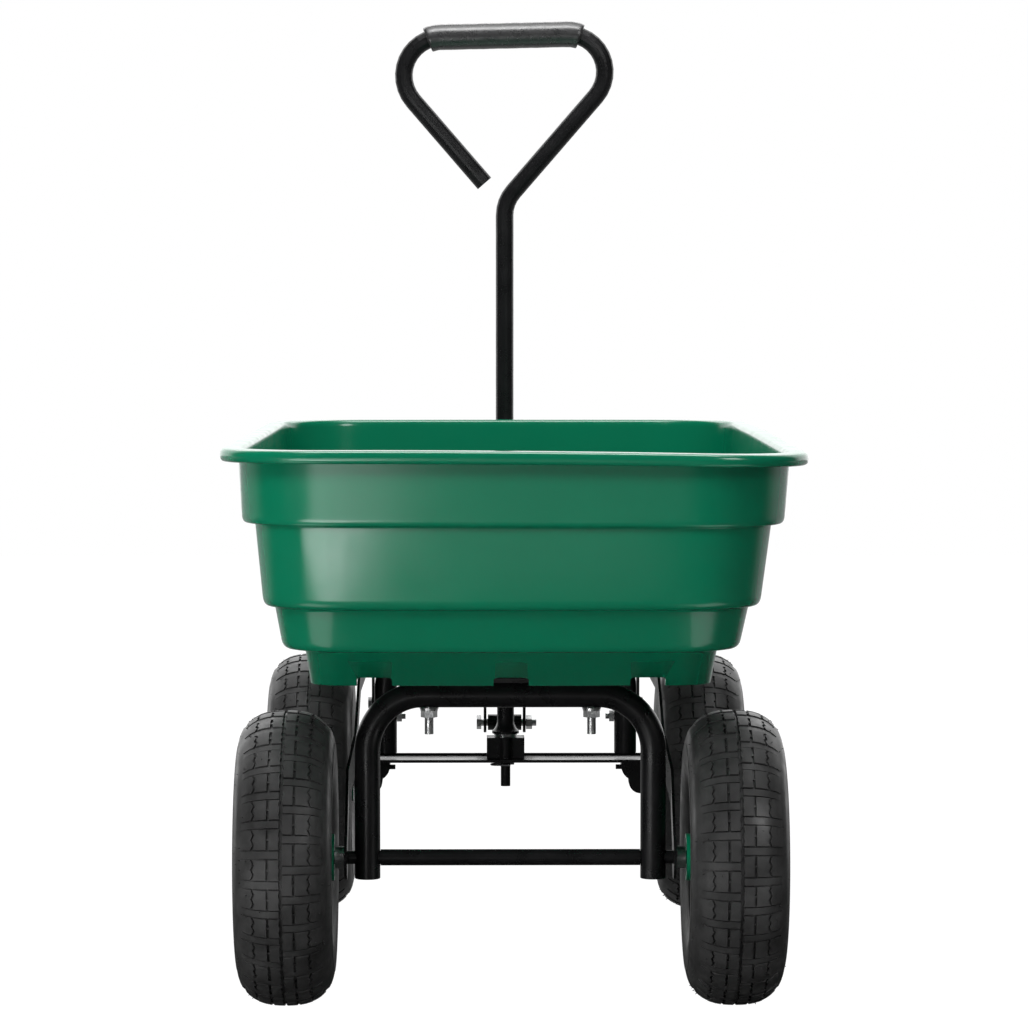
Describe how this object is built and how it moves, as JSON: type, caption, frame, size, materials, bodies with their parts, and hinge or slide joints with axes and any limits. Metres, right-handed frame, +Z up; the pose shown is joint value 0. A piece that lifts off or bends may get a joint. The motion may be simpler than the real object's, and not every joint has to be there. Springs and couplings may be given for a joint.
{
  "type": "garden cart",
  "caption": "Tipping garden cart: stepped green tub that tips about the rear axle, pneumatic wheels, steered front axle and fold-down loop handle.",
  "frame": {"origin": "on the ground, at the centre of the cart's bounding box", "axes": "+Z up, +Y the way the cart is pulled, +X across the cart"},
  "size_m": [0.511, 0.9334, 0.9276],
  "materials": {
    "green_plastic": "gloss",
    "black_paint": "gloss",
    "green_paint": "gloss",
    "zinc": "satin",
    "tyre_rubber": "matte",
    "tube_rubber": "matte",
    "black_plastic": "matte",
    "grip_foam": "satin"
  },
  "bodies": {
    "chassis": {"rear_axle": "black_paint", "axle_sleeve": "black_paint", "rear_collars": "zinc", "rear_nuts": "zinc", "left_rail": "black_paint", "right_rail": "black_paint", "rail_bolts": "zinc", "front_hoop": "black_paint", "steering_post": "black_paint", "kingpin": "black_paint", "steering_washer": "zinc", "kingpin_clip": "zinc"},
    "bed": {"tub": "green_plastic", "rear_hoop": "black_paint", "bed_strap": "black_paint", "tub_bolts": "zinc", "tub_nuts": "zinc", "tub_washers": "zinc"},
    "latch": {"release_lever": "black_paint", "lever_knob": "black_plastic"},
    "front_axle": {"axle_beam": "black_paint", "pivot_block": "black_paint", "front_knuckles": "black_paint", "stub_axles": "black_paint", "front_collars": "zinc", "front_nuts": "zinc", "handle_bracket": "black_paint", "handle_bolt": "zinc", "handle_nut": "zinc"},
    "handle": {"handle_tube": "black_paint", "handle_fork": "black_paint", "handle_grip": "grip_foam"},
    "rear_left_wheel": {"rear_left_tyre": "tyre_rubber", "rear_left_inner_tube": "tube_rubber", "rear_left_rim_outer": "green_paint", "rear_left_rim_inner": "green_paint", "rear_left_hub": "green_paint", "rear_left_bearings": "zinc", "rear_left_rim_bolts": "zinc"},
    "rear_right_wheel": {"rear_right_tyre": "tyre_rubber", "rear_right_inner_tube": "tube_rubber", "rear_right_rim_outer": "green_paint", "rear_right_rim_inner": "green_paint", "rear_right_hub": "green_paint", "rear_right_bearings": "zinc", "rear_right_rim_bolts": "zinc"},
    "front_left_wheel": {"front_left_tyre": "tyre_rubber", "front_left_inner_tube": "tube_rubber", "front_left_rim_outer": "green_paint", "front_left_rim_inner": "green_paint", "front_left_hub": "green_paint", "front_left_bearings": "zinc", "front_left_rim_bolts": "zinc"},
    "front_right_wheel": {"front_right_tyre": "tyre_rubber", "front_right_inner_tube": "tube_rubber", "front_right_rim_outer": "green_paint", "front_right_rim_inner": "green_paint", "front_right_hub": "green_paint", "front_right_bearings": "zinc", "front_right_rim_bolts": "zinc"}
  },
  "joints": [
    {"name": "bed_tip", "type": "hinge", "parent": "chassis", "child": "bed", "pos_m": [0, -0.25925, 0.1325], "axis": [1, 0, 0], "range_deg": [0, 75]},
    {"name": "latch_turn", "type": "hinge", "parent": "bed", "child": "latch", "pos_m": [0, 0.29375, 0.299], "axis": [1, 0, 0], "range_deg": [0, 45]},
    {"name": "steering", "type": "hinge", "parent": "chassis", "child": "front_axle", "pos_m": [0, 0.32075, 0.155], "axis": [0, 0, 1], "range_deg": [-35, 35]},
    {"name": "handle_fold", "type": "hinge", "parent": "front_axle", "child": "handle", "pos_m": [0, 0.45575, 0.1793], "axis": [-1, 0, 0], "range_deg": [0, 95]},
    {"name": "rear_left_wheel_spin", "type": "hinge", "parent": "chassis", "child": "rear_left_wheel", "pos_m": [-0.201, -0.25925, 0.1325], "axis": [1, 0, 0], "continuous": true},
    {"name": "rear_right_wheel_spin", "type": "hinge", "parent": "chassis", "child": "rear_right_wheel", "pos_m": [0.201, -0.25925, 0.1325], "axis": [1, 0, 0], "continuous": true},
    {"name": "front_left_wheel_spin", "type": "hinge", "parent": "front_axle", "child": "front_left_wheel", "pos_m": [-0.201, 0.32075, 0.1325], "axis": [1, 0, 0], "continuous": true},
    {"name": "front_right_wheel_spin", "type": "hinge", "parent": "front_axle", "child": "front_right_wheel", "pos_m": [0.201, 0.32075, 0.1325], "axis": [1, 0, 0], "continuous": true}
  ]
}
